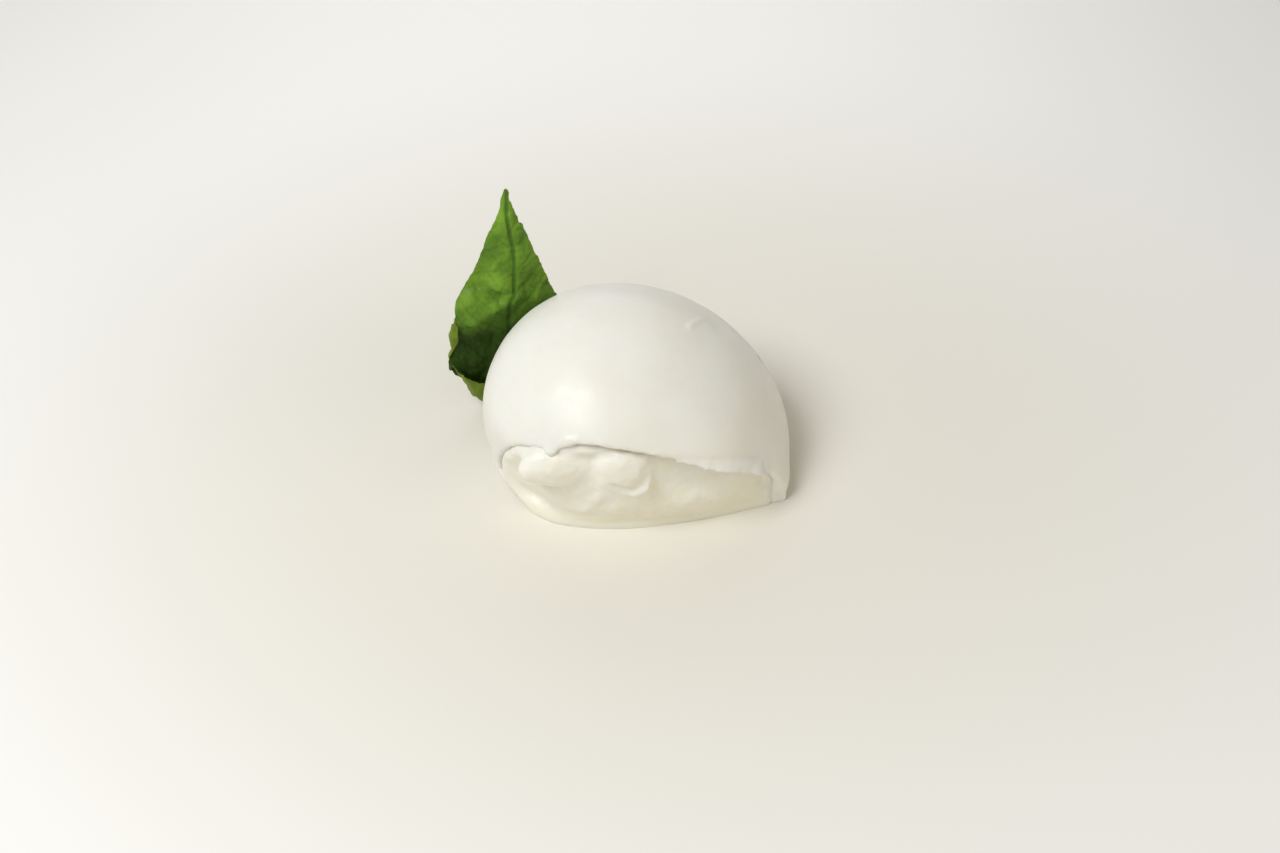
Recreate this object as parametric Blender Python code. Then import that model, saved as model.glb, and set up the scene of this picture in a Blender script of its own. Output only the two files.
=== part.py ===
"""A ball of fresh mozzarella, torn open at its front, with one basil leaf against its back.

Three solids make the object. The skin is the smooth outer wall of the ball, open at the front
like a wide mouth. The curd is the soft mass inside it, which swells in lobes out of the mouth.
The basil leaf stands behind the ball with its lowest lobe folded up.

Every solid is laid out the same way: closed rows of points that run from one edge to the next,
and the last row closed like a zip, upper half against lower half. Sizes are in millimetres
until the last step, which makes metres and sets the object on its own origin.
"""
import math

import bpy
from mathutils import Vector

METRES = 0.001

# The ball: an ellipsoid that sags onto a flat foot, with its crown leaning to one side.
HALF_WIDTH = 43.5
CROWN_RISE = 41.5
WAIST_HEIGHT = 11.0
LEAN = -0.18
FOOT_ROUNDING = 12.0

# The wall of the ball, and the clearance between it and what lies against it.
SKIN_THICKNESS = 2.4
CLEARANCE = 0.5

# Rows and columns of the solids. Columns run round the mouth, rows lead away from it. The inner
# side of the skin and the back of the curd have the same few rows, so that the two stay parallel.
COLUMNS = 72
OUTER_ROWS = 20
INNER_ROWS = (0, 1, 3, 5, 7, 9, 11, 13, 15, 17, 20)
FACE_ROWS = 8

# The rows that round off the lip, at these angles from its outer edge over to its inner edge.
LIP_ANGLES = (math.radians(50.0), math.radians(130.0))

# Edges sharper than this stay crisp when the solids are shaded smooth.
SHARP_ANGLE = math.radians(50.0)

# How the rows spread from the lip over the ball to the seam that closes them at the back, and
# how far from the lip its own place and thickness still count.
ROW_CROWDING = (1.4, 1.2)
BACK_REACH = math.radians(115.0)
SEAM_HALF_ANGLE = math.radians(12.0)
LIP_FADE = 3
LIP_EASE = 9.0
WALL_EASE = 12.0

# The edge of the foot lies this far below the centre of the ball, as seen from there.
FOOT_ANGLE = math.atan2(WAIST_HEIGHT, HALF_WIDTH * math.sqrt(1.0 - (WAIST_HEIGHT / CROWN_RISE) ** 2))
FOOT_ANGLE_PASSES = 20

# The mouth, counter-clockwise from its right corner as seen from the front. Each entry is a
# point of the lip, the lip's thickness, how far its torn edge slopes out past the outer skin,
# how deep the crevice behind it is, and the point where the bare face of the curd begins.
MOUTH_TOP = (
    ((41.2, -22.8, 1.8), 2.8, 0.4, 0.8, (35.4, -22.6, 4.2)),
    ((39.4, -24.0, 9.0), 2.8, 0.8, 0.6, (35.2, -22.8, 8.2)),
    ((33.4, -25.8, 16.8), 2.6, 2.2, 1.0, (31.6, -24.2, 13.2)),
    ((23.8, -32.2, 23.2), 2.6, 2.4, 1.2, (23.0, -30.2, 19.2)),
    ((9.0, -36.6, 30.2), 2.4, 1.2, 1.4, (9.0, -33.4, 26.2)),
    ((-7.0, -36.2, 33.8), 2.2, 0.6, 1.6, (-7.0, -32.8, 29.6)),
    ((-16.0, -34.0, 34.4), 2.2, 0.6, 2.2, (-16.0, -30.4, 29.2)),
    ((-23.4, -32.4, 31.4), 2.2, 0.6, 1.4, (-22.6, -29.6, 27.4)),
    ((-34.4, -24.4, 26.6), 2.2, 0.6, 0.8, (-32.6, -22.8, 23.8)),
)
MOUTH_BOTTOM = (
    ((-40.6, -14.0, 13.0), 2.4, 0.6, 0.2, (-37.6, -15.4, 12.8)),
    ((-38.4, -14.8, 4.4), 2.6, 0.4, 0.2, (-35.0, -16.8, 6.4)),
    ((-31.2, -21.8, 2.8), 2.4, 0.4, 0.2, (-28.6, -21.6, 5.2)),
    ((-23.2, -26.4, 1.4), 1.8, 0.2, 0.2, (-21.6, -27.8, 2.8)),
    ((-14.0, -26.8, 0.5), 1.1, 0.0, 0.2, (-14.6, -30.0, 0.7)),
    ((0.0, -26.8, 0.3), 1.0, 0.0, 0.2, (0.0, -30.2, 0.5)),
    ((18.0, -24.8, 0.3), 1.0, 0.0, 0.2, (18.0, -28.2, 0.5)),
    ((33.0, -21.8, 0.6), 1.4, 0.0, 0.2, (32.6, -25.0, 0.9)),
)
CURVE_STEPS = 24

# The bare face of the curd: how far it swells, the share of the way in from its edge where the
# lobes reach their full height, and its lobes and hollows as seen from the front (x, z, half
# width, half height, how far it stands out).
BELLY = 2.6
LOBE_EDGE = 1.0 / 3.0
LOBES = (
    (-24.0, 22.0, 9.5, 5.5, 3.4),
    (-4.6, 21.6, 8.0, 5.0, 3.0),
    (-13.6, 20.0, 2.6, 6.0, -1.2),
    (2.2, 15.2, 4.0, 2.2, 1.0),
    (17.0, 18.0, 12.0, 5.0, -1.8),
)

# The leaf, flat: across its midrib and up from the floor, from the tip down the left margin,
# round the lobe that is folded up, and up the right margin.
LEAF_THICKNESS = 0.6
LEAF_COLUMNS = 56
LEAF_ROWS = 9
LEAF_LEFT = (
    (0.6, 70.0), (-0.9, 65.5), (-2.3, 62.4), (-5.5, 57.0), (-8.4, 50.6), (-10.6, 45.4),
    (-16.4, 37.8), (-18.0, 31.6), (-20.0, 25.0), (-20.4, 16.6), (-19.2, 7.0), (-17.6, 0.0),
    (-14.8, -8.5), (-10.6, -11.0), (-5.5, -7.5), (-2.4, -1.4),
)
LEAF_RIGHT = (
    (1.0, 1.0), (5.0, 1.4), (10.5, 5.0), (15.0, 12.0), (16.4, 22.0), (14.2, 31.0),
    (10.6, 40.6), (7.2, 50.4), (4.6, 58.0), (2.3, 64.6),
)
LEAF_MIDRIB_FOOT = 3.0
LEAF_MIDRIB_TOP = 66.5

# How the leaf stands: its midrib's place, the slanting knee where its forward lean turns into a
# backward one, how far each half turns towards or away from the ball at the floor and high up,
# the waves along its margins, and the short step that finds the way its surface faces.
LEAF_PLACE = (-34.6, 33.6)
KNEE_HEIGHT = 33.0
KNEE_SLANT = 0.3
KNEE_SOFTNESS = 3.0
LEAN_BELOW_KNEE = -0.07
LEAN_ABOVE_KNEE = 0.18
LEFT_TURN = (0.40, 0.05)
RIGHT_TURN = (0.85, 0.10)
TURN_FADES_AT = 60.0
MIDRIB_SOFTNESS = 2.0
WAVE_LENGTH = 19.0
WAVE_HEIGHT = 1.1
WAVE_REACH = 20.0
NORMAL_STEP = 0.2

# The fold of the lowest lobe: its line sags a little on its way from the leaf's corner down to
# the floor.
FOLD_CORNER = (-20.4, 16.4)
FOLD_FOOT = (-13.0, 1.5)
FOLD_SAG = 1.6
FOLD_RADIUS = 1.0
FOLD_ANGLE = math.radians(165.0)

COLOURS = {
    "skin": (0.86, 0.85, 0.81, 1.0),
    "curd": (0.87, 0.83, 0.70, 1.0),
    "basil_leaf": (0.06, 0.16, 0.02, 1.0),
}


def smoothstep(value):
    """A rise from 0 to 1 with level ends."""
    clamped = min(max(value, 0.0), 1.0)
    return clamped * clamped * (3.0 - 2.0 * clamped)


def mix(first, second, share):
    """The value or point that lies a given share of the way from first to second."""
    return first * (1.0 - share) + second * share


def rounded_min(first, second, rounding):
    """The smaller of two lengths, with the corner where they cross rounded off."""
    overlap = max(rounding - abs(first - second), 0.0) / rounding
    return min(first, second) - overlap * overlap * rounding / 4.0


def row_share(index):
    """How far a row has got from the lip to the seam: rows are closest together at both ends."""
    near_lip, near_seam = ROW_CROWDING
    return 1.0 - (1.0 - (index / OUTER_ROWS) ** near_lip) ** near_seam


def closed_curve(points, steps):
    """Points of any dimension joined by a smooth closed curve, steps points for each span."""
    curve = []
    count = len(points)
    for index in range(count):
        before, start, end, after = (points[(index + shift) % count] for shift in (-1, 0, 1, 2))
        for step in range(steps):
            t = step / steps
            curve.append(tuple(
                0.5 * (2.0 * b + (c - a) * t + (2.0 * a - 5.0 * b + 4.0 * c - d) * t ** 2
                       + (3.0 * b - a - 3.0 * c + d) * t ** 3)
                for a, b, c, d in zip(before, start, end, after)))
    return curve


def even_points(curve, count, dimensions):
    """Count points at even distances along a curve, leaving out its last point."""
    reach = [0.0]
    for first, second in zip(curve, curve[1:]):
        reach.append(reach[-1] + math.dist(first[:dimensions], second[:dimensions]))
    picked = []
    span = 0
    for index in range(count):
        distance = reach[-1] * index / count
        while reach[span + 1] < distance:
            span += 1
        share = (distance - reach[span]) / (reach[span + 1] - reach[span])
        picked.append(tuple(mix(a, b, share) for a, b in zip(curve[span], curve[span + 1])))
    return picked


def two_sided_outline(first_half, second_half, count, dimensions):
    """A closed outline of count points whose two halves each have half of them."""
    curve = closed_curve(first_half + second_half, CURVE_STEPS)
    turn = len(first_half) * CURVE_STEPS
    there = even_points(curve[:turn + 1], count // 2, dimensions)
    back = even_points(curve[turn:] + curve[:1], count // 2, dimensions)
    return there + back


class RowMesh:
    """A mesh made of closed rows of points, each bridged to the next with quads."""

    def __init__(self):
        """Start with no rows."""
        self.points = []
        self.faces = []
        self.last_row = None

    def add_row(self, points):
        """Add a closed row and bridge it to the row before."""
        row = []
        for point in points:
            row.append(len(self.points))
            self.points.append(point)
        self.bridge(row)

    def add_zip(self, points):
        """Add a seam, whose points serve both halves of the neighbouring row."""
        first = len(self.points)
        self.points.extend(points)
        there = list(range(first, first + len(points)))
        self.bridge(there + there[-2:0:-1])

    def bridge(self, row):
        """Join a row to the last one with quads."""
        if self.last_row is not None:
            count = len(row)
            for index in range(count):
                following = (index + 1) % count
                self.faces.append((self.last_row[index], self.last_row[following],
                                   row[following], row[index]))
        self.last_row = row

    def make_object(self, name):
        """Make the closed mesh, facing outwards, with the node's material."""
        mesh = bpy.data.meshes.new(name)
        mesh.from_pydata([Vector(point) * METRES for point in self.points], [], self.faces)
        if signed_volume(mesh) < 0.0:
            mesh.flip_normals()
        mesh.shade_smooth()
        mesh.set_sharp_from_angle(angle=SHARP_ANGLE)
        mesh.materials.append(make_material(name))
        piece = bpy.data.objects.new(name, mesh)
        bpy.context.scene.collection.objects.link(piece)
        return piece


def signed_volume(mesh):
    """Six times the volume that a closed mesh holds, negative where it is inside out."""
    mesh.calc_loop_triangles()
    total = 0.0
    for triangle in mesh.loop_triangles:
        first, second, third = (mesh.vertices[index].co for index in triangle.vertices)
        total += first.dot(second.cross(third))
    return total


def make_material(name):
    """The plain finish of one node."""
    material = bpy.data.materials.new(name)
    material.use_nodes = True
    shader = material.node_tree.nodes["Principled BSDF"]
    shader.inputs["Base Color"].default_value = COLOURS[name]
    shader.inputs["Roughness"].default_value = 0.4
    shader.inputs["Metallic"].default_value = 0.0
    return material


class Ball:
    """The form of the ball and of its mouth, which the skin and the curd both follow."""

    def __init__(self):
        """Lay out the mouth's outline and the direction of each lip point."""
        first_half = tuple(self.mouth_entry(*entry) for entry in MOUTH_TOP)
        second_half = tuple(self.mouth_entry(*entry) for entry in MOUTH_BOTTOM)
        outline = two_sided_outline(first_half, second_half, COLUMNS, dimensions=3)
        self.lips = [Vector(entry[0:3]) for entry in outline]
        self.thickness = [entry[3] for entry in outline]
        self.slope = [entry[4] for entry in outline]
        self.crevice = [entry[5] for entry in outline]
        self.edges = [Vector(entry[6:9]) for entry in outline]
        self.polar = [self.to_polar(self.upright(lip)) for lip in self.lips]

    @staticmethod
    def mouth_entry(lip, thickness, slope, crevice, edge):
        """One entry of the mouth as a single row of numbers."""
        return (*lip, thickness, slope, crevice, *edge)

    @staticmethod
    def upright(point):
        """A point of the leaning ball, measured from the waist's centre with the lean undone."""
        rise = point.z - WAIST_HEIGHT
        return Vector((point.x - LEAN * rise, point.y, rise))

    @staticmethod
    def leaning(offset):
        """The reverse of upright."""
        return Vector((offset.x + LEAN * offset.z, offset.y, offset.z + WAIST_HEIGHT))

    @staticmethod
    def to_polar(offset):
        """Distance, angle from the back of the ball, and angle round the front-back axis."""
        level = Ball.level_with_foot(offset.normalized())
        sideways = math.hypot(level.x, level.z)
        return offset.length, math.atan2(sideways, level.y), math.atan2(level.z, level.x)

    @staticmethod
    def direction(from_back, around):
        """The unit direction with these two angles."""
        level = Vector((math.sin(from_back) * math.cos(around), math.cos(from_back),
                        math.sin(from_back) * math.sin(around)))
        elevation = math.asin(level.z)
        return Ball.with_elevation(level, elevation - FOOT_ANGLE * math.cos(elevation))

    @staticmethod
    def with_elevation(direction, elevation):
        """A direction with the same heading and another elevation."""
        heading = math.atan2(direction.y, direction.x)
        return Vector((math.cos(elevation) * math.cos(heading),
                       math.cos(elevation) * math.sin(heading), math.sin(elevation)))

    @staticmethod
    def level_with_foot(direction):
        """The direction as seen if the foot's edge were level with the ball's centre."""
        lowered = math.asin(direction.z)
        elevation = lowered
        for _ in range(FOOT_ANGLE_PASSES):
            elevation = lowered + FOOT_ANGLE * math.cos(elevation)
        return Ball.with_elevation(direction, elevation)

    @staticmethod
    def radius(direction, depth):
        """How far the ball's surface, or the one a given depth inside it, is from the centre."""
        half_width = HALF_WIDTH - depth
        crown = CROWN_RISE - depth
        level = math.hypot(direction.x, direction.y) / half_width
        shell = 1.0 / math.hypot(level, direction.z / crown)
        if direction.z >= 0.0:
            return shell
        floor = (WAIST_HEIGHT - depth) / max(-direction.z, 1e-6)
        return rounded_min(shell, floor, FOOT_ROUNDING)

    def row_angles(self, column, share):
        """The two angles of a column's point, from the lip (share 0) to the seam (share 1)."""
        turn = 2.0 * math.pi * column / COLUMNS
        _, lip_from_back, lip_around = self.polar[column]
        start = self.seam_angles(BACK_REACH, turn)
        here = self.seam_angles(BACK_REACH * (1.0 - share), turn)
        fade = (1.0 - share) ** LIP_FADE
        twist = (lip_around - start[1] + math.pi) % (2.0 * math.pi) - math.pi
        return here[0] + (lip_from_back - start[0]) * fade, here[1] + twist * fade

    @staticmethod
    def seam_angles(reach, turn):
        """A point of the family of ovals that shrinks onto the seam at the back."""
        wide = math.hypot(reach, SEAM_HALF_ANGLE) * math.cos(turn)
        tall = reach * math.sin(turn)
        return math.hypot(wide, tall), math.atan2(tall, wide)

    def point(self, column, share, depth, lip_depth):
        """A point of the wall at a depth, which eases to the lip's own depth at the lip."""
        from_back, around = self.row_angles(column, share)
        direction = self.direction(from_back, around)
        lip_distance, lip_from_back, lip_around = self.polar[column]
        travelled = abs(lip_from_back - from_back) * HALF_WIDTH
        depth_here = mix(depth, lip_depth, math.exp(-(travelled / WALL_EASE) ** 2))
        lip_direction = self.direction(lip_from_back, lip_around)
        pull = lip_distance - self.radius(lip_direction, 0.0)
        distance = self.radius(direction, depth_here) + pull * math.exp(-(travelled / LIP_EASE) ** 2)
        return self.leaning(direction * distance)

    def row(self, index, depth, lip_depths):
        """A closed row of the wall, counted from the lip."""
        share = row_share(index)
        return [self.point(column, share, depth, lip_depths[column]) for column in range(COLUMNS)]

    def seam(self, depth):
        """The seam at the back of the wall."""
        return [self.point(column, 1.0, depth, depth) for column in range(COLUMNS // 2 + 1)]

    def lip_frame(self, column):
        """The outer and inner edge of the torn lip, and the way it faces."""
        outer = self.point(column, 0.0, 0.0, 0.0)
        inner = self.point(column, 0.0, SKIN_THICKNESS, self.thickness[column])
        behind = self.point(column, row_share(1), 0.0, 0.0)
        forward = (outer - behind).normalized()
        return outer, inner + forward * self.slope[column], forward


def make_skin(ball):
    """The wall of the ball, from its back seam over the lip and back along its inner side."""
    mesh = RowMesh()
    level = [0.0] * COLUMNS
    mesh.add_zip(ball.seam(0.0))
    for index in range(OUTER_ROWS - 1, -1, -1):
        mesh.add_row(ball.row(index, 0.0, level))
    frames = [ball.lip_frame(column) for column in range(COLUMNS)]
    for angle in LIP_ANGLES:
        mesh.add_row([
            (outer + inner) / 2.0 + (outer - inner) / 2.0 * math.cos(angle)
            + forward * math.sin(angle) * ball.thickness[column] / 2.0
            for column, (outer, inner, forward) in enumerate(frames)])
    mesh.add_row([inner for _, inner, _ in frames])
    for index in INNER_ROWS[1:-1]:
        mesh.add_row(ball.row(index, SKIN_THICKNESS, ball.thickness))
    mesh.add_zip(ball.seam(SKIN_THICKNESS))
    return mesh.make_object("skin")


def lobe_push(x, z):
    """How far the lobes and hollows move the bare face outwards at a place on it."""
    return sum(push * math.exp(-((x - lobe_x) / half_width) ** 2 - ((z - lobe_z) / half_height) ** 2)
               for lobe_x, lobe_z, half_width, half_height, push in LOBES)


def curd_face_rows(ball):
    """The rows of the bare face, from its edge to the seam along its middle."""
    middles = []
    for column in range(COLUMNS // 2 + 1):
        above = ball.edges[column]
        below = ball.edges[-column]
        middle = (above + below) / 2.0
        middle.y -= BELLY * math.sin(math.pi * column / (COLUMNS // 2))
        middles.append(middle)
    middles[0] = (ball.edges[0] + middles[1]) / 2.0
    middles[-1] = (ball.edges[COLUMNS // 2] + middles[-2]) / 2.0
    mirrored = middles + middles[-2:0:-1]
    rows = []
    for index in range(FACE_ROWS + 1):
        share = index / FACE_ROWS
        row = []
        for edge, middle in zip(ball.edges, mirrored):
            point = mix(edge, middle, share)
            point.y = mix(middle.y, edge.y, (1.0 - share) ** 2)
            point.y -= lobe_push(point.x, point.z) * smoothstep(share / LOBE_EDGE)
            row.append(point)
        rows.append(row)
    return rows


def make_curd(ball):
    """The soft mass that fills the skin and swells out of the mouth, from its bare face back."""
    mesh = RowMesh()
    depth = SKIN_THICKNESS + CLEARANCE
    lip_depths = [thickness + CLEARANCE + crevice
                  for thickness, crevice in zip(ball.thickness, ball.crevice)]
    face_rows = curd_face_rows(ball)
    mesh.add_zip(face_rows[-1][:COLUMNS // 2 + 1])
    for row in reversed(face_rows[:-1]):
        mesh.add_row(row)
    for index in INNER_ROWS[:-1]:
        mesh.add_row(ball.row(index, depth, lip_depths))
    mesh.add_zip(ball.seam(depth))
    return mesh.make_object("curd")


def fold_height(across):
    """The height of the fold line at a distance across the leaf."""
    share = (across - FOLD_CORNER[0]) / (FOLD_FOOT[0] - FOLD_CORNER[0])
    if share >= 1.0:
        return FOLD_FOOT[1]
    return mix(FOLD_CORNER[1], FOLD_FOOT[1], share) - FOLD_SAG * 4.0 * share * (1.0 - share)


def fold(across, height):
    """The height of a point after folding, and how far the fold brings it forward."""
    beyond = fold_height(across) - height
    if beyond <= 0.0:
        return height, 0.0
    arc = min(beyond / FOLD_RADIUS, FOLD_ANGLE)
    straight = beyond - arc * FOLD_RADIUS
    down = FOLD_RADIUS * math.sin(arc) + straight * math.cos(arc)
    forward = FOLD_RADIUS * (1.0 - math.cos(arc)) + straight * math.sin(arc)
    return fold_height(across) - down, forward


def lean_back(across, height):
    """How far the leaf has leant backwards at a point, bending at its knee."""
    knee = KNEE_HEIGHT + KNEE_SLANT * across
    above = (height - knee + math.hypot(height - knee, KNEE_SOFTNESS)) / 2.0
    return LEAN_BELOW_KNEE * height + (LEAN_ABOVE_KNEE - LEAN_BELOW_KNEE) * above


def leaf_point(across, height):
    """The place in space of a point of the flat leaf."""
    wave = WAVE_HEIGHT * math.sin(2.0 * math.pi * height / WAVE_LENGTH) * (across / WAVE_REACH) ** 2
    height, forward = fold(across, height)
    fade = smoothstep(height / TURN_FADES_AT)
    turn_at_floor, turn_high = LEFT_TURN if across < 0.0 else RIGHT_TURN
    turn = mix(turn_at_floor, turn_high, fade)
    bend = math.hypot(across, MIDRIB_SOFTNESS) - MIDRIB_SOFTNESS
    x = LEAF_PLACE[0] + across / math.hypot(1.0, turn)
    y = LEAF_PLACE[1] + lean_back(across, height) + wave - forward
    y += math.copysign(bend * turn / math.hypot(1.0, turn), across)
    return Vector((x, y, height))


def leaf_normal(across, height):
    """The way the leaf's upper side faces, found from short steps along it."""
    sideways = leaf_point(across + NORMAL_STEP, height) - leaf_point(across - NORMAL_STEP, height)
    upwards = leaf_point(across, height + NORMAL_STEP) - leaf_point(across, height - NORMAL_STEP)
    return sideways.cross(upwards).normalized()


def make_leaf():
    """The leaf, its upper side and underside closed round the margin."""
    outline = two_sided_outline(LEAF_LEFT, LEAF_RIGHT, LEAF_COLUMNS, dimensions=2)
    half = LEAF_COLUMNS // 2
    midrib = [(0.0, mix(LEAF_MIDRIB_TOP, LEAF_MIDRIB_FOOT, column / half))
              for column in range(half + 1)]
    mirrored = midrib + midrib[-2:0:-1]
    rows = []
    for index in range(LEAF_ROWS + 1):
        share = index / LEAF_ROWS
        rows.append([tuple(mix(a, b, share) for a, b in zip(margin, rib))
                     for margin, rib in zip(outline, mirrored)])
    mesh = RowMesh()
    offset = LEAF_THICKNESS / 2.0
    mesh.add_zip([leaf_point(*spot) + leaf_normal(*spot) * offset for spot in rows[-1][:half + 1]])
    for row in reversed(rows[:-1]):
        mesh.add_row([leaf_point(*spot) + leaf_normal(*spot) * offset for spot in row])
    for row in rows[:-1]:
        mesh.add_row([leaf_point(*spot) - leaf_normal(*spot) * offset for spot in row])
    mesh.add_zip([leaf_point(*spot) - leaf_normal(*spot) * offset for spot in rows[-1][:half + 1]])
    return mesh.make_object("basil_leaf")


def stand_on_origin(pieces):
    """Move the pieces so that the middle of the object's underside is the origin."""
    corners = [piece.matrix_world @ Vector(corner) for piece in pieces for corner in piece.bound_box]
    low = Vector(tuple(min(corner[axis] for corner in corners) for axis in range(3)))
    high = Vector(tuple(max(corner[axis] for corner in corners) for axis in range(3)))
    shift = Vector(((low.x + high.x) / 2.0, (low.y + high.y) / 2.0, low.z))
    for piece in pieces:
        piece.location -= shift


def main():
    """Clear the scene and build the object."""
    for stale in list(bpy.data.objects):
        bpy.data.objects.remove(stale, do_unlink=True)
    ball = Ball()
    stand_on_origin([make_skin(ball), make_curd(ball), make_leaf()])


main()
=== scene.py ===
"""Looks of a fresh mozzarella ball, torn open at its front, with a basil leaf at its back.

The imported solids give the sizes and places. Each of them is copied, merged and worked by hand
like soft clay: lumps are pressed on, the whole is melted together into an even skin of faces, and
then creases, dents and torn edges are pushed in and smoothed. The leaf is the upper face of its
solid, cut free, veined, toothed and given its thickness again.

Spots are given in millimetres from the middle of the ball's foot: x to the right as seen from the
torn front, y to the back, z up.
"""
import logging
import math
from contextlib import contextmanager
from dataclasses import dataclass, replace
from enum import Enum
from typing import Iterator, Optional, Sequence, Union

import bpy
import numpy as np
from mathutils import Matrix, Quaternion, Vector
from mathutils.kdtree import KDTree


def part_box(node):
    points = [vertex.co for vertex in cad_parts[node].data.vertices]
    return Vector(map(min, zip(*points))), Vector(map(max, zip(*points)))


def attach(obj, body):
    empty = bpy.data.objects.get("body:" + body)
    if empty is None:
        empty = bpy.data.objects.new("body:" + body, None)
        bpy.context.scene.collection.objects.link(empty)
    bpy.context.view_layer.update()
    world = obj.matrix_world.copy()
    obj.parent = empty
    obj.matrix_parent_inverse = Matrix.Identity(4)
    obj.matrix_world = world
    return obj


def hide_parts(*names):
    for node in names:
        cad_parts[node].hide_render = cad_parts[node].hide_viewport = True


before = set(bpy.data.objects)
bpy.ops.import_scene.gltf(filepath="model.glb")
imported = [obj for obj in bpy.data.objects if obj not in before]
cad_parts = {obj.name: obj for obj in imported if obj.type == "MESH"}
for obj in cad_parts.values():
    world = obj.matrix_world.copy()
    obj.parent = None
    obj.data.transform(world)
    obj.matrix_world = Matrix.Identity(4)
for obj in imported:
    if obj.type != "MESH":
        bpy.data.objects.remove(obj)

Spot = tuple[float, float, float]
Line = tuple[Spot, ...]
Span = tuple[float, float]
Colour = tuple[float, float, float, float]
Amount = Union[float, np.ndarray]
Value = Union[float, Spot, Colour, bpy.types.NodeSocket]

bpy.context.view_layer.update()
MILLIMETRE = 0.001
# Vertices nearer to each other than this, in millimetres, are the same corner.
TOUCHING = 0.01
PAINT_STEPS = 255.0
# The values of an uneven pattern between which one colour, or one gloss, turns into another.
PATCHES: Span = (0.35, 0.70)
MIDDLE: Span = (0.3, 0.7)
BALL_HALF_WIDTH = 43.5

log = logging.getLogger("mozzarella")


def foot_middle() -> Vector:
    """The middle of the ball's foot in metres, from which every spot is measured."""
    low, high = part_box("skin")
    return Vector(((low.x + high.x) / 2.0, high.y - BALL_HALF_WIDTH * MILLIMETRE, 0.0))


FOOT = foot_middle()


def at(spot: Sequence[float]) -> Vector:
    """The point in metres of a spot given in millimetres."""
    return FOOT + Vector(spot) * MILLIMETRE


# Where the camera stands. What shows in the mouth is placed along lines of sight from here.
EYE = at((0.8, -439.4, 361.9))


class Pick(Enum):
    """What is picked in edit mode."""

    CORNERS = "VERT"
    EDGES = "EDGE"
    FACES = "FACE"


class Split(Enum):
    """The ways in which faces are split into finer ones."""

    ROUNDED = "CATMULL_CLARK"
    STRAIGHT = "SIMPLE"


class Way(Enum):
    """The ways in which clay is pushed."""

    OUT = "NORMAL"
    RIGHT = "X"
    BACK = "Y"
    UP = "Z"


def take_up(*pieces: bpy.types.Object) -> None:
    """Select these pieces alone.

    Args:
        pieces: The pieces, of which the first becomes the active one.
    """
    bpy.ops.object.select_all(action="DESELECT")
    for piece in pieces:
        piece.select_set(True)
    bpy.context.view_layer.objects.active = pieces[0]


@contextmanager
def editing(piece: bpy.types.Object, pick: Pick = Pick.CORNERS) -> Iterator[None]:
    """Open a piece in edit mode with everything in it selected, and close it again.

    Args:
        piece: The mesh object to open.
        pick: What is picked in edit mode.
    """
    take_up(piece)
    bpy.ops.object.mode_set(mode="EDIT")
    bpy.ops.mesh.select_mode(type=pick.value)
    bpy.ops.mesh.select_all(action="SELECT")
    try:
        yield
    finally:
        bpy.ops.object.mode_set(mode="OBJECT")


def bell(distance: np.ndarray, reach: float) -> np.ndarray:
    """A soft falloff: 1 at no distance, a third at the reach, almost nothing at twice the reach."""
    return np.exp(-(distance / reach) ** 2)


def ramp(value: np.ndarray, start: float, end: Amount) -> np.ndarray:
    """A smooth rise from 0 where value is at the start to 1 where it is at the end."""
    share = np.clip((value - start) / (end - start), 0.0, 1.0)
    return share * share * (3.0 - 2.0 * share)


def from_line(spots: np.ndarray, line: Sequence[Sequence[float]]) -> np.ndarray:
    """Distances from a bent line.

    Args:
        spots: One row for each point, with as many columns as the line's points have numbers.
        line: The line's points in order.

    Returns:
        Each point's distance from the nearest stretch of the line.
    """
    nearest = np.full(len(spots), np.inf)
    corners = np.array(line, float)
    for start, end in zip(corners, corners[1:]):
        run = end - start
        share = np.clip((spots - start) @ run / (run @ run), 0.0, 1.0)
        gap = spots - (start + share[:, None] * run)
        nearest = np.minimum(nearest, np.sqrt((gap ** 2).sum(1)))
    return nearest


def smooth_line(line: Sequence[Sequence[float]], steps: int) -> list[tuple[float, ...]]:
    """A curve through a few points.

    Args:
        line: The points to go through, each with the same count of numbers.
        steps: How many points of the curve each span gets.

    Returns:
        The curve's points.
    """
    padded = [line[0], *line, line[-1]]
    curve = []
    for before, start, end, after in zip(padded, padded[1:], padded[2:], padded[3:]):
        for step in range(steps):
            t = step / steps
            curve.append(tuple(
                0.5 * (2.0 * b + (c - a) * t + (2.0 * a - 5.0 * b + 4.0 * c - d) * t ** 2
                       + (3.0 * b - a - 3.0 * c + d) * t ** 3)
                for a, b, c, d in zip(before, start, end, after)))
    return [*curve, tuple(line[-1])]


@dataclass(frozen=True)
class Stroke:
    """A soft stroke along a line that raises the clay by a height, or sinks it."""

    line: Line
    reach: float
    height: float
    way: Way = Way.OUT
    steps: int = 1

    def curve(self) -> np.ndarray:
        """The stroke's line, smoothed with this many steps from each point to the next."""
        return np.array(smooth_line(self.line, self.steps))

    def where(self, spots: np.ndarray) -> np.ndarray:
        """How strongly spots are pushed, from 0 to 1."""
        return bell(from_line(spots, self.curve()), self.reach)


@dataclass(frozen=True)
class Dab:
    """A soft dab at a spot that raises the clay by a height, or sinks it."""

    middle: Spot
    reach: Spot
    height: float
    way: Way = Way.OUT

    def where(self, spots: np.ndarray) -> np.ndarray:
        """How strongly spots are pushed, from 0 to 1, with the dab's own reach along each axis."""
        parts = (spots - np.array(self.middle)) / np.array(self.reach)
        return bell(np.sqrt((parts ** 2).sum(1)), reach=1.0)


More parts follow.
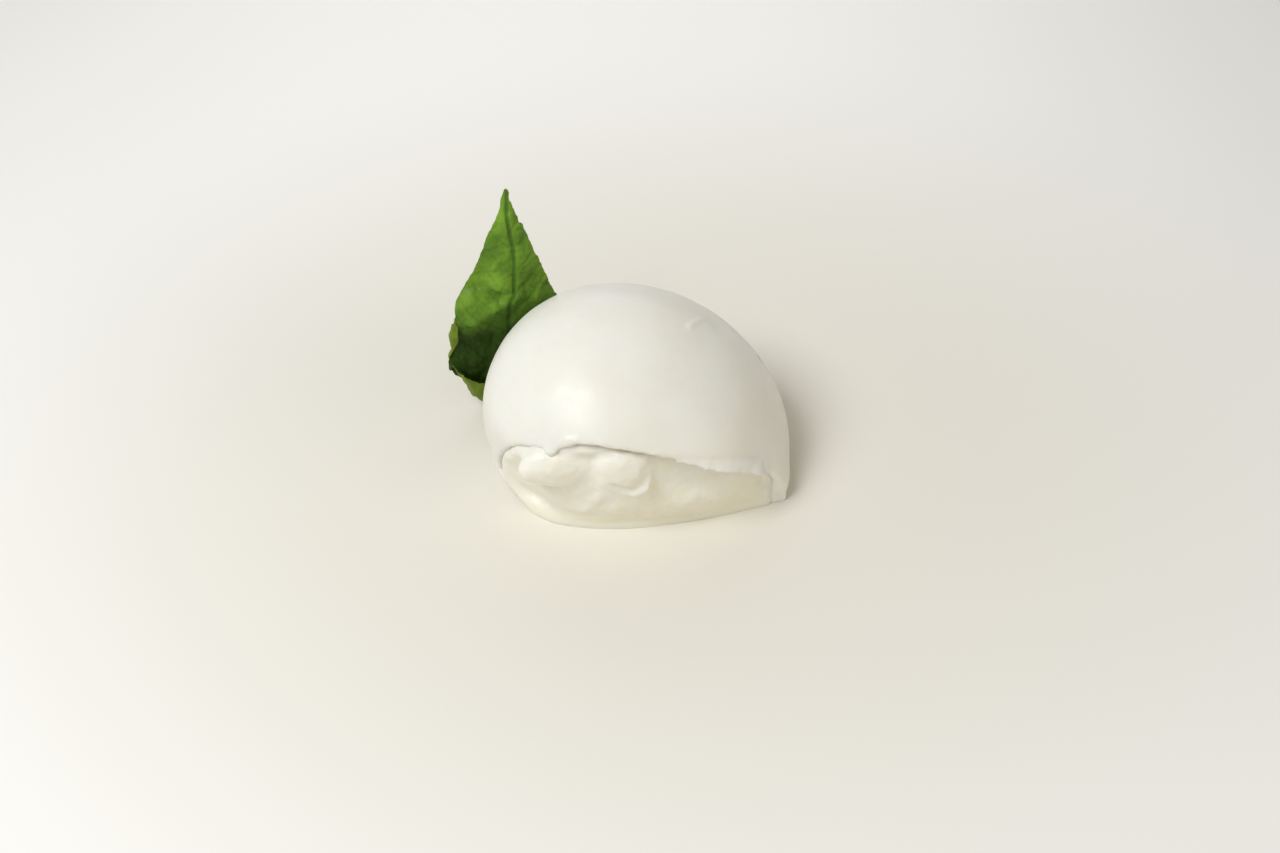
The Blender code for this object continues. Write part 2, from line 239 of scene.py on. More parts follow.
@dataclass(frozen=True)
class Grain:
    """A cloudy unevenness: the size of its billows, their height, and which way they rise."""

    name: str
    size: float
    height: float
    way: Way = Way.OUT
    finer: int = 2

    def texture(self) -> bpy.types.Texture:
        """Make the texture that the clay is pushed with.

        Returns:
            The texture, with as many finer billows on the coarse ones as the grain says.
        """
        texture = bpy.data.textures.new(self.name, "CLOUDS")
        texture.noise_scale = self.size * MILLIMETRE
        texture.noise_depth = self.finer
        return texture


Mark = Union[Stroke, Dab]


class Clay:
    """A mesh piece that is worked by hand."""

    def __init__(self, piece: bpy.types.Object) -> None:
        """Take up a mesh object whose origin is the frame's origin."""
        self.piece = piece

    @classmethod
    def from_solid(cls, node: str, name: str) -> "Clay":
        """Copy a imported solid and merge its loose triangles.

        Args:
            node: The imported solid's name.
            name: The new piece's name.

        Returns:
            The copy, with no material.
        """
        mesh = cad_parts[node].data.copy()
        mesh.name = name
        mesh.materials.clear()
        piece = bpy.data.objects.new(name, mesh)
        bpy.context.scene.collection.objects.link(piece)
        with editing(piece):
            bpy.ops.mesh.customdata_custom_splitnormals_clear()
            bpy.ops.mesh.remove_doubles(threshold=TOUCHING * MILLIMETRE)
            bpy.ops.mesh.faces_shade_smooth()
            bpy.ops.mesh.mark_sharp(clear=True)
        return cls(piece)

    def pair_triangles(self, bend: float = 40.0, skew: float = 60.0) -> None:
        """Join pairs of triangles into quads, which round off more evenly.

        Args:
            bend: How far two paired triangles may fold against each other, in degrees.
            skew: How far the quad's corners may be from square, in degrees.
        """
        with editing(self.piece):
            bpy.ops.mesh.tris_convert_to_quads(face_threshold=math.radians(bend),
                                               shape_threshold=math.radians(skew))

    @staticmethod
    def rows(items: bpy.types.bpy_prop_collection, name: str) -> np.ndarray:
        """Read three numbers from each item of a mesh.

        Args:
            items: The mesh's vertices or their normals.
            name: What is read from each.

        Returns:
            One row of three numbers for each item.
        """
        flat = np.empty(len(items) * 3, np.float32)
        items.foreach_get(name, flat)
        return flat.reshape(-1, 3)

    def spots(self) -> np.ndarray:
        """Every vertex in millimetres from the middle of the foot, one row each."""
        return (self.rows(self.piece.data.vertices, "co") - np.array(FOOT)) / MILLIMETRE

    def facings(self) -> np.ndarray:
        """Every vertex's normal, one row each."""
        return self.rows(self.piece.data.vertex_normals, "vector")

    def seen(self, spot: Sequence[float]) -> Vector:
        """Where the clay is met by the line of sight that goes from the eye through a spot.

        Args:
            spot: A spot near the clay, in front of it or inside it.

        Returns:
            The spot on the clay's surface.
        """
        bpy.context.view_layer.update()
        _, hit, _, _ = self.piece.ray_cast(EYE, (at(spot) - EYE).normalized())
        return (hit - FOOT) / MILLIMETRE

    def apply(self, kind: str, **settings: object) -> None:
        """Add a modifier and apply it.

        Args:
            kind: The modifier's type.
            settings: Its settings by their names.
        """
        modifier = self.piece.modifiers.new(kind.lower(), kind)
        for name, value in settings.items():
            setattr(modifier, name, value)
        take_up(self.piece)
        bpy.ops.object.modifier_apply(modifier=modifier.name)
        self.piece.vertex_groups.clear()

    def paint(self, where: np.ndarray) -> str:
        """Paint a vertex group in even steps of strength.

        Args:
            where: The strength at each vertex, from 0 to 1.

        Returns:
            The vertex group's name.
        """
        group = self.piece.vertex_groups.new(name="painted")
        steps = np.rint(np.clip(where, 0.0, 1.0) * PAINT_STEPS).astype(int)
        for step in np.unique(steps[steps > 0]):
            group.add(np.nonzero(steps == step)[0].tolist(), step / PAINT_STEPS, "REPLACE")
        return group.name

    def push(self, where: np.ndarray, distance: float, way: Way = Way.OUT) -> None:
        """Push the clay by a distance in millimetres, each vertex as strongly as where says."""
        self.apply("DISPLACE", vertex_group=self.paint(where), direction=way.value,
                   strength=distance * MILLIMETRE, mid_level=0.0)

    def mark(self, mark: Mark, spots: np.ndarray, share: Amount = 1.0) -> None:
        """Press a stroke or a dab into the clay, of which each vertex takes its share."""
        self.push(share * mark.where(spots), mark.height, mark.way)

    def roughen(self, where: np.ndarray, grain: Grain) -> None:
        """Raise and lower the clay unevenly where it is painted.

        Args:
            where: How strongly each vertex moves, from 0 to 1.
            grain: The unevenness, whose height is from its valleys to its peaks.
        """
        self.apply("DISPLACE", vertex_group=self.paint(where), direction=grain.way.value,
                   strength=grain.height * MILLIMETRE, mid_level=0.5, texture=grain.texture(),
                   texture_coords="LOCAL")

    def soften(self, passes: int, where: Optional[np.ndarray] = None) -> None:
        """Smooth the clay in this many passes, all over or as strongly as where says."""
        painted = "" if where is None else self.paint(where)
        self.apply("SMOOTH", factor=0.5, iterations=passes, vertex_group=painted)

    def refine(self, levels: int, split: Split = Split.ROUNDED) -> None:
        """Split each face into four, as often as the levels say."""
        self.apply("SUBSURF", subdivision_type=split.value, levels=levels, render_levels=levels)

    def melt(self, grain: float) -> None:
        """Melt what has been pressed on into one closed skin of even faces of the grain's size."""
        self.apply("REMESH", mode="VOXEL", voxel_size=grain * MILLIMETRE, use_smooth_shade=True)

    def settle(self, depth: float) -> None:
        """Flatten the underside, so that nothing sinks deeper below the floor than the depth.

        Args:
            depth: The depth in millimetres.
        """
        vertices = self.piece.data.vertices
        places = self.rows(vertices, "co")
        places[:, 2] = np.maximum(places[:, 2], FOOT.z - depth * MILLIMETRE)
        vertices.foreach_set("co", places.ravel())
        self.piece.data.update()

    def sit_down(self, press: float) -> None:
        """Press the rim of the foot down by so many millimetres, and flatten the underside."""
        self.push(1.0 - ramp(self.spots()[:, 2], start=0.2, end=2.0), -press, Way.UP)
        self.settle(depth=0.3)

    def press_on(self, lumps: Sequence[bpy.types.Object]) -> None:
        """Join lumps to the clay, which keep their own faces until the whole is melted."""
        take_up(self.piece, *lumps)
        bpy.ops.object.join()

    def hand_in(self, node: str) -> bpy.types.Object:
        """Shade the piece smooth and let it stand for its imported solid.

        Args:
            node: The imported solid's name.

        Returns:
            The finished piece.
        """
        take_up(self.piece)
        bpy.ops.object.shade_smooth()
        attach(self.piece, "root")
        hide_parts(node)
        return self.piece


@dataclass(frozen=True)
class Lump:
    """A rounded lump, given by its middle, its half sizes and its turn as seen from the front."""

    middle: Spot
    half: Spot
    turn: float = 0.0
    segments: int = 28
    rings: int = 16

    def make(self) -> bpy.types.Object:
        """Shape the lump from a ball.

        Returns:
            The lump as an object of its own.
        """
        place = at(self.middle)
        bpy.ops.mesh.primitive_uv_sphere_add(segments=self.segments, ring_count=self.rings,
                                             radius=MILLIMETRE, location=place)
        lump = bpy.context.object
        with editing(lump):
            bpy.ops.transform.resize(value=self.half, center_override=place)
            bpy.ops.transform.rotate(value=math.radians(self.turn), orient_axis="Y",
                                     center_override=place)
        return lump


def beads(line: Sequence[Sequence[float]], thick: float, thin: float) -> list[Lump]:
    """A run of small lumps along a line, thick in the middle and thin at its ends.

    Args:
        line: The spots of the lumps.
        thick: The radius in the middle in millimetres.
        thin: The radius at both ends.

    Returns:
        The lumps, close enough to melt into one strand.
    """
    run = []
    for index, spot in enumerate(line):
        radius = thin + (thick - thin) * math.sin(math.pi * index / (len(line) - 1))
        run.append(Lump(tuple(spot), (radius, radius, radius)))
    return run


class Recipe:
    """The node tree of one material, with short calls for the nodes that the finishes share."""

    def __init__(self, name: str) -> None:
        """Start a material whose patterns all read the piece's Object coordinates.

        Args:
            name: The material's name.
        """
        self.material = bpy.data.materials.new(name)
        self.material.use_nodes = True
        self.tree = self.material.node_tree
        self.shader = self.tree.nodes["Principled BSDF"]
        self.place = self.tree.nodes.new("ShaderNodeTexCoord").outputs["Object"]

    def set(self, **values: Value) -> None:
        """Set the shader's even values; a socket's name is written with _ for a space."""
        for name, value in values.items():
            self.shader.inputs[name.replace("_", " ")].default_value = value

    def feed(self, socket: str, source: bpy.types.NodeSocket) -> None:
        """Let a node's output drive one of the shader's sockets."""
        self.tree.links.new(source, self.shader.inputs[socket])

    def plug(self, socket: bpy.types.NodeSocket, value: Value) -> None:
        """Link an output to a socket, or set the socket's even value.

        Args:
            socket: The socket to fill.
            value: An output to link, or a plain value.
        """
        if isinstance(value, bpy.types.NodeSocket):
            self.tree.links.new(value, socket)
        else:
            socket.default_value = value

    def node(self, kind: str, *values: Value, **named: Value) -> bpy.types.Node:
        """Add a node.

        Args:
            kind: The node's type, without what all shader nodes' types start with.
            values: What fills its first sockets, in order.
            named: What fills its other sockets, by their names with _ for a space.

        Returns:
            The node.
        """
        node = self.tree.nodes.new("ShaderNode" + kind)
        for index, value in enumerate(values):
            self.plug(node.inputs[index], value)
        for name, value in named.items():
            self.plug(node.inputs[name.replace("_", " ")], value)
        return node

    def stretched(self, stretch: Spot, turn: Spot) -> bpy.types.NodeSocket:
        """The Object coordinates, squeezed along each axis and turned (in degrees)."""
        turned = tuple(math.radians(angle) for angle in turn)
        return self.node("Mapping", self.place, Scale=stretch, Rotation=turned).outputs["Vector"]

    def noise(self, size: float, detail: float = 3.0, roughness: float = 0.5,
              place: Optional[bpy.types.NodeSocket] = None) -> bpy.types.NodeSocket:
        """An uneven pattern between 0 and 1, whose patches have this size in millimetres."""
        return self.node("TexNoise", place or self.place, Scale=1.0 / (size * MILLIMETRE),
                         Detail=detail, Roughness=roughness).outputs["Fac"]

    def cells(self, size: float) -> bpy.types.NodeSocket:
        """A pattern of rounded cells: 0 in the middle of each, rising to its border."""
        cells = self.node("TexVoronoi", self.place, Scale=1.0 / (size * MILLIMETRE))
        return cells.outputs["Distance"]

    def painted(self, name: str) -> bpy.types.NodeSocket:
        """What was painted on the piece's vertices.

        Args:
            name: The name that it was painted under.

        Returns:
            The painted value.
        """
        node = self.node("Attribute")
        node.attribute_name = name
        return node.outputs["Fac"]

    def spread(self, value: bpy.types.NodeSocket, start: float, end: float,
               low: float = 0.0, high: float = 1.0) -> bpy.types.NodeSocket:
        """Turn one range of values smoothly into another.

        Args:
            value: The value to change.
            start: What becomes the low value.
            end: What becomes the high value.
            low: The value at the start and before it.
            high: The value at the end and after it.

        Returns:
            The changed value.
        """
        node = self.node("MapRange", value, From_Min=start, From_Max=end, To_Min=low, To_Max=high)
        node.interpolation_type = "SMOOTHSTEP"
        return node.outputs["Result"]

    def height_above_floor(self) -> bpy.types.NodeSocket:
        """The height of a point in metres."""
        return self.node("SeparateXYZ", self.place).outputs["Z"]

    def distance_from_middle(self) -> bpy.types.NodeSocket:
        """How far a point is from the piece's origin in metres.

        Returns:
            The distance.
        """
        node = self.node("VectorMath", self.place)
        node.operation = "LENGTH"
        return node.outputs["Value"]

    def sum(self, first: bpy.types.NodeSocket, second: bpy.types.NodeSocket,
            share: float) -> bpy.types.NodeSocket:
        """Add a share of the second value to the first.

        Args:
            first: The value that counts in full.
            second: The value that counts in part.
            share: How much of the second counts.

        Returns:
            The sum.
        """
        node = self.node("Math", second, share, first)
        node.operation = "MULTIPLY_ADD"
        return node.outputs["Value"]

    def mix(self, share: bpy.types.NodeSocket, first: Value, second: Value) -> bpy.types.NodeSocket:
        """Mix two colours.

        Args:
            share: How far the mix goes from the first colour to the second.
            first: The colour where the share is 0.
            second: The colour where the share is 1.

        Returns:
            The mixed colour.
        """
        node = self.node("Mix")
        node.data_type = "RGBA"
        self.plug(node.inputs["Factor"], share)
        for name, colour in (("A", first), ("B", second)):
            self.plug(next(s for s in node.inputs if s.name == name and s.type == "RGBA"), colour)
        return next(s for s in node.outputs if s.type == "RGBA")

    def bump(self, height: bpy.types.NodeSocket, depth: float, strength: float = 1.0,
             over: Optional[bpy.types.NodeSocket] = None) -> bpy.types.NodeSocket:
        """Relief too fine for the mesh.

        Args:
            height: The relief as a value between 0 and 1.
            depth: Its depth in millimetres.
            strength: How much of it shows.
            over: The relief that it lies on, if there is one.

        Returns:
            The normal for the shader.
        """
        below = {} if over is None else {"Normal": over}
        return self.node("Bump", Height=height, Distance=depth * MILLIMETRE, Strength=strength,
                         **below).outputs["Normal"]

    def dress(self, piece: bpy.types.Object) -> None:
        """Give the piece this material as its next one."""
        piece.data.materials.append(self.material)


@dataclass(frozen=True)
class SkinFinish:
    """The smooth milk-white outside of the ball, moist, with faint clouds of cream in it."""

    white: Colour = (0.885, 0.868, 0.805, 1.0)
    cream: Colour = (0.845, 0.820, 0.735, 1.0)
    cloud_size: float = 22.0
    dimple_size: float = 3.2
    dimple_depth: float = 0.10
    pore_size: float = 0.55
    pore_depth: float = 0.04
    relief: float = 0.35
    roughness: Span = (0.34, 0.46)

    def dress(self, piece: bpy.types.Object) -> None:
        """Mix the material and give it to the piece.

        Args:
            piece: The torn skin.
        """
        recipe = Recipe("milk_white_skin")
        recipe.set(Subsurface_Weight=0.30, Subsurface_Scale=0.0045,
                   Subsurface_Radius=(1.0, 0.82, 0.52), IOR=1.42, Coat_Weight=0.12,
                   Coat_Roughness=0.22, Coat_IOR=1.34)
        clouds = recipe.noise(self.cloud_size, detail=4.0)
        flecks = recipe.noise(self.dimple_size, detail=2.0)
        share = recipe.sum(recipe.spread(clouds, *PATCHES), recipe.spread(flecks, 0.5, 0.8), 0.18)
        recipe.feed("Base Color", recipe.mix(share, self.white, self.cream))
        recipe.feed("Roughness", recipe.spread(flecks, *MIDDLE, *self.roughness))
        dimples = recipe.bump(flecks, self.dimple_depth, self.relief)
        pores = recipe.noise(self.pore_size, detail=3.0)
        recipe.feed("Normal", recipe.bump(pores, self.pore_depth, self.relief, over=dimples))
        recipe.dress(piece)


@dataclass(frozen=True)
class CurdFinish:
    """The soft cream inside: wet, a little stringy, yellower and a little darker low down, towards
    the floor.
    """

    milk: Colour = (0.905, 0.885, 0.795, 1.0)
    cream: Colour = (0.892, 0.856, 0.728, 1.0)
    low_down_colour: Colour = (0.885, 0.838, 0.682, 1.0)
    cloud_size: float = 14.0
    strand_size: float = 2.6
    strand_depth: float = 0.16
    strand_stretch: Spot = (0.28, 1.0, 1.0)
    strand_turn: Spot = (0.0, 14.0, 0.0)
    curd_size: float = 0.8
    curd_depth: float = 0.04
    low_down_reach: float = 0.020
    low_down_share: float = 0.7
    roughness: Span = (0.30, 0.44)

    def dress(self, piece: bpy.types.Object) -> None:
        """Mix the material and give it to the piece.

        Args:
            piece: The soft curd.
        """
        recipe = Recipe("soft_curd")
        recipe.set(Subsurface_Weight=0.40, Subsurface_Scale=0.0060,
                   Subsurface_Radius=(1.0, 0.80, 0.42), IOR=1.42, Coat_Weight=0.25,
                   Coat_Roughness=0.16, Coat_IOR=1.34)
        clouds = recipe.noise(self.cloud_size, detail=4.0)
        strands = recipe.noise(self.strand_size, detail=3.0,
                               place=recipe.stretched(self.strand_stretch, self.strand_turn))
        share = recipe.sum(recipe.spread(clouds, *PATCHES), recipe.spread(strands, 0.4, 0.8), 0.3)
        curd = recipe.mix(share, self.milk, self.cream)
        # Yellower and a little darker towards the floor.
        low = recipe.spread(recipe.height_above_floor(), self.low_down_reach, 0.0, 0.0, self.low_down_share)
        recipe.feed("Base Color", recipe.mix(low, curd, self.low_down_colour))
        recipe.feed("Roughness", recipe.spread(strands, *MIDDLE, *self.roughness))
        fibre = recipe.bump(strands, self.strand_depth, strength=0.3)
        grains = recipe.noise(self.curd_size, detail=2.0)
        recipe.feed("Normal", recipe.bump(grains, self.curd_depth, strength=0.25, over=fibre))
        recipe.dress(piece)


@dataclass(frozen=True)
class LeafFinish:
    """One side of the basil leaf: its flesh, its veins, the fine quilting between them and the
    shade painted on it.
    """

    name: str
    flesh: Colour
    shade: Colour
    # The darker green that is painted where the leaf lies in shade.
    painted_shade_green: Colour
    vein: Colour
    roughness: Span
    quilt_depth: float
    quilt_size: float = 1.5
    vein_share: float = 0.7
    patch_size: float = 9.0
    fleck_size: float = 1.1
    fleck_depth: float = 0.05

    def dress(self, piece: bpy.types.Object) -> None:
        """Mix the material and give it to the piece.

        Args:
            piece: The leaf, with its veins and its shade painted on it.
        """
        recipe = Recipe(self.name)
        recipe.set(Subsurface_Weight=0.12, Subsurface_Scale=0.0008, IOR=1.42,
                   Specular_IOR_Level=0.24, Coat_Weight=0.0, Coat_Roughness=0.24)
        patches = recipe.spread(recipe.noise(self.patch_size, detail=4.0), 0.35, 0.68)
        flecks = recipe.noise(self.fleck_size, detail=2.0)
        share = recipe.sum(patches, recipe.spread(flecks, 0.45, 0.8), 0.25)
        flesh = recipe.mix(share, self.flesh, self.shade)
        # Painted shade: the green darkens where shade is painted on the leaf, below the crease, in
        # the arch and on the right half.
        flesh = recipe.mix(recipe.painted("shade"), flesh, self.painted_shade_green)
        veins = recipe.spread(recipe.painted("veins"), 0.25, 0.9, 0.0, self.vein_share)
        recipe.feed("Base Color", recipe.mix(veins, flesh, self.vein))
        recipe.feed("Roughness", recipe.spread(flecks, *MIDDLE, *self.roughness))
        cells = recipe.bump(recipe.cells(self.quilt_size), self.quilt_depth, strength=0.5)
        recipe.feed("Normal", recipe.bump(flecks, self.fleck_depth, strength=0.4, over=cells))
        recipe.dress(piece)


UPPER_SIDE = LeafFinish("basil_upper_side", flesh=(0.180, 0.345, 0.028, 1.0),
                        shade=(0.100, 0.205, 0.018, 1.0), painted_shade_green=(0.012, 0.036, 0.001, 1.0),
                        vein=(0.034, 0.095, 0.008, 1.0), roughness=(0.38, 0.50),
                        quilt_depth=0.16)
UNDERSIDE = LeafFinish("basil_underside", flesh=(0.190, 0.262, 0.026, 1.0),
                       shade=(0.150, 0.225, 0.020, 1.0), painted_shade_green=(0.150, 0.225, 0.020, 1.0),
                       vein=(0.250, 0.320, 0.060, 1.0), roughness=(0.52, 0.64),
                       quilt_depth=0.10)


@dataclass(frozen=True)
class TornSkin:
    """The outer wall of the ball, with its torn lip, a pinched wrinkle and a small nick."""

    grain: float = 0.69
    tear: Line = (
        (38.7, -21.7, 2.4), (37.1, -24.0, 10.4), (31.0, -26.5, 17.0), (24.4, -31.2, 21.2),
        (16.9, -34.1, 25.2), (8.8, -36.0, 29.1), (0.0, -36.0, 31.6), (-9.2, -35.0, 33.4),
        (-18.0, -33.0, 32.9), (-26.0, -29.8, 29.6), (-32.9, -24.5, 26.6), (-36.9, -18.8, 20.4),
        (-39.4, -13.8, 13.0), (-38.1, -13.8, 5.9), (-32.5, -18.2, 3.6), (-26.3, -22.5, 2.8),
        (-19.7, -25.1, 1.7),
    )
    lip_reach: float = 2.2
    bites: Grain = Grain("bites", size=2.4, height=1.0, way=Way.UP)
    shreds: Grain = Grain("shreds", size=1.1, height=0.6)
    sag: Grain = Grain("sag", size=17.0, height=0.35, finer=1)
    wrinkle: Stroke = Stroke(
        ((15.9, -1.0, 46.5), (18.2, 3.3, 45.1), (20.2, 6.6, 43.6), (21.2, 7.0, 42.9)),
        reach=0.75, height=0.42, steps=4)
    wrinkle_hollow: Dab = Dab((24.2, 8.0, 40.0), reach=(4.0, 4.0, 4.0), height=-0.55)
    nick: Stroke = Stroke(((36.3, 11.2, 26.1), (36.5, 9.3, 26.9), (36.5, 8.0, 27.0)),
                          reach=1.0, height=-1.3, steps=3)
    flake_offset: Spot = (-1.4, -1.0, 0.9)
    flake_reach: float = 0.9
    flake_height: float = 0.4
    facet_top: Line = ((10.0, -36.0, 28.4), (17.4, -34.7, 26.1), (24.9, -31.2, 23.1),
                       (29.2, -28.3, 20.8), (33.6, -24.7, 17.9))
    facet_height: Span = (0.8, 4.0)
    facet_front: Span = (19.0, 22.0)
    facet_end: Span = (33.4, 34.6)
    facet_depth: float = 4.0
    facet_lift: float = 0.6
    facet_edge_reach: float = 0.6
    facet_edge_depth: float = 0.35
    cheek: Dab = Dab((37.0, -23.6, 13.4), reach=(2.2, 4.0, 3.6), height=-0.5)
    # A corner's height is its share of the tatters.
    torn_corner: Dab = Dab((37.8, -23.8, 5.0), reach=(2.2, 3.0, 4.4), height=1.0)
    left_corner: Dab = Dab((-38.8, -15.0, 9.6), reach=(2.4, 3.0, 5.0), height=0.6)
    tatters: Grain = Grain("tatters", size=1.6, height=2.8)
    middle: Spot = (0.0, 0.0, 11.0)
    outside_from_middle: Span = (0.0, 10.0)
    edge_lift: float = 0.4
    foot_press: float = 0.6

    def make(self) -> bpy.types.Object:
        """Model the torn skin.

        Returns:
            The finished piece.
        """
        clay = Clay.from_solid("skin", "torn_skin")
        clay.pair_triangles()
        clay.refine(1)
        clay.press_on([lump.make() for lump in (*self.scraps(), *self.lip_edge())])
        clay.melt(self.grain)
        clay.soften(4)
        self.fray(clay)
        spots = clay.spots()
        self.roll_edge(clay, spots)
        self.roughen_corners(clay, spots)
        self.crease(clay)
        clay.soften(2)
        clay.sit_down(self.foot_press)
        SkinFinish().dress(clay.piece)
        return clay.hand_in("skin")

    @staticmethod
    def scraps() -> list[Lump]:
        """The small scraps that hang from the lip, and its thick torn end on the right.

        Returns:
            The lumps of the scraps, from left to right.
        """
        return [
            Lump((-23.6, -32.5, 29.2), (1.1, 0.8, 1.6), 10.0),
            Lump((-25.0, -31.8, 29.6), (0.8, 0.7, 1.1)),
            Lump((-22.4, -32.8, 30.0), (0.9, 0.7, 0.9)),
            Lump((-18.6, -33.5, 34.0), (0.9, 0.6, 0.5)),
            Lump((-16.6, -33.8, 34.5), (0.6, 0.5, 0.4)),
            Lump((10.3, -35.2, 26.9), (0.6, 0.7, 1.1)),
            Lump((18.1, -33.8, 23.5), (0.6, 0.7, 0.9)),
            Lump((37.0, -23.2, 4.8), (1.6, 1.2, 5.0), -4.0),
            Lump((38.9, -22.7, 4.0), (1.9, 1.2, 4.4)),
            Lump((37.4, -22.9, 1.5), (2.2, 1.3, 1.9)),
            Lump((40.0, -22.3, 1.5), (1.5, 1.3, 1.9)),
        ]

    def lip_edge(self) -> list[Lump]:
        """A thin strand along the upper lip, which keeps its edge when the clay is melted.

        Returns:
            The lumps that the strand melts together from.
        """
        line = [(across, depth, height + self.edge_lift)
                for across, depth, height in smooth_line(self.tear[1:15], steps=14)]
        return beads(line, thick=0.72, thin=0.62)

    def fray(self, clay: Clay) -> None:
        """Fray the torn lip.

        Args:
            clay: The melted skin.
        """
        lip = bell(from_line(clay.spots(), self.tear), self.lip_reach)
        clay.roughen(lip, self.bites)
        clay.roughen(lip, self.shreds)

    def roll_edge(self, clay: Clay, spots: np.ndarray) -> None:
        """Roll the lip's edge outwards on the right into a thick band, and hollow the cheek.

        Args:
            clay: The melted skin.
            spots: Its vertices' places once the lip is frayed.
        """
        top = np.array(self.facet_top)
        grown = np.sqrt(np.clip((spots[:, 0] - top[0, 0]) / (top[-1, 0] - top[0, 0]), 0.0, 1.0))
        drop = np.interp(spots[:, 0], top[:, 0], top[:, 2]) - spots[:, 2]
        thin, thick = self.facet_height
        facet = np.clip(drop / (thin + (thick - thin) * grown), 0.0, 1.0) * grown
        facet *= ramp(-spots[:, 1], *self.facet_front) * (1.0 - ramp(spots[:, 0], *self.facet_end))
        clay.push(facet, -self.facet_depth, Way.BACK)
        clay.push(facet, self.facet_lift, Way.UP)
        edge = bell(from_line(spots, self.facet_top[1:]), self.facet_edge_reach)
        clay.push(grown * edge, -self.facet_edge_depth)
        clay.mark(self.cheek, spots)

    def roughen_corners(self, clay: Clay, spots: np.ndarray) -> None:
        """Tatter the thick torn end on the right and, less, the tear's left corner.

        Args:
            clay: The melted skin.
            spots: Its vertices' places once the lip is frayed.
        """
        right, left = (corner.height * corner.where(spots)
                       for corner in (self.torn_corner, self.left_corner))
        clay.roughen(np.maximum(right, left), self.tatters)

    def crease(self, clay: Clay) -> None:
        """Let the whole skin rise and fall a little, and make its wrinkle and its nick.

        Args:
            clay: The melted skin.
        """
        spots = clay.spots()
        outwards = (clay.facings() * (spots - np.array(self.middle))).sum(1)
        outside = ramp(outwards, *self.outside_from_middle)
        clay.roughen(outside, self.sag)
        for mark in (self.wrinkle, self.wrinkle_hollow, self.nick):
            clay.mark(mark, spots, outside)
        flake = bell(from_line(spots, self.nick.curve() + self.flake_offset), self.flake_reach)
        clay.push(outside * flake, self.flake_height)


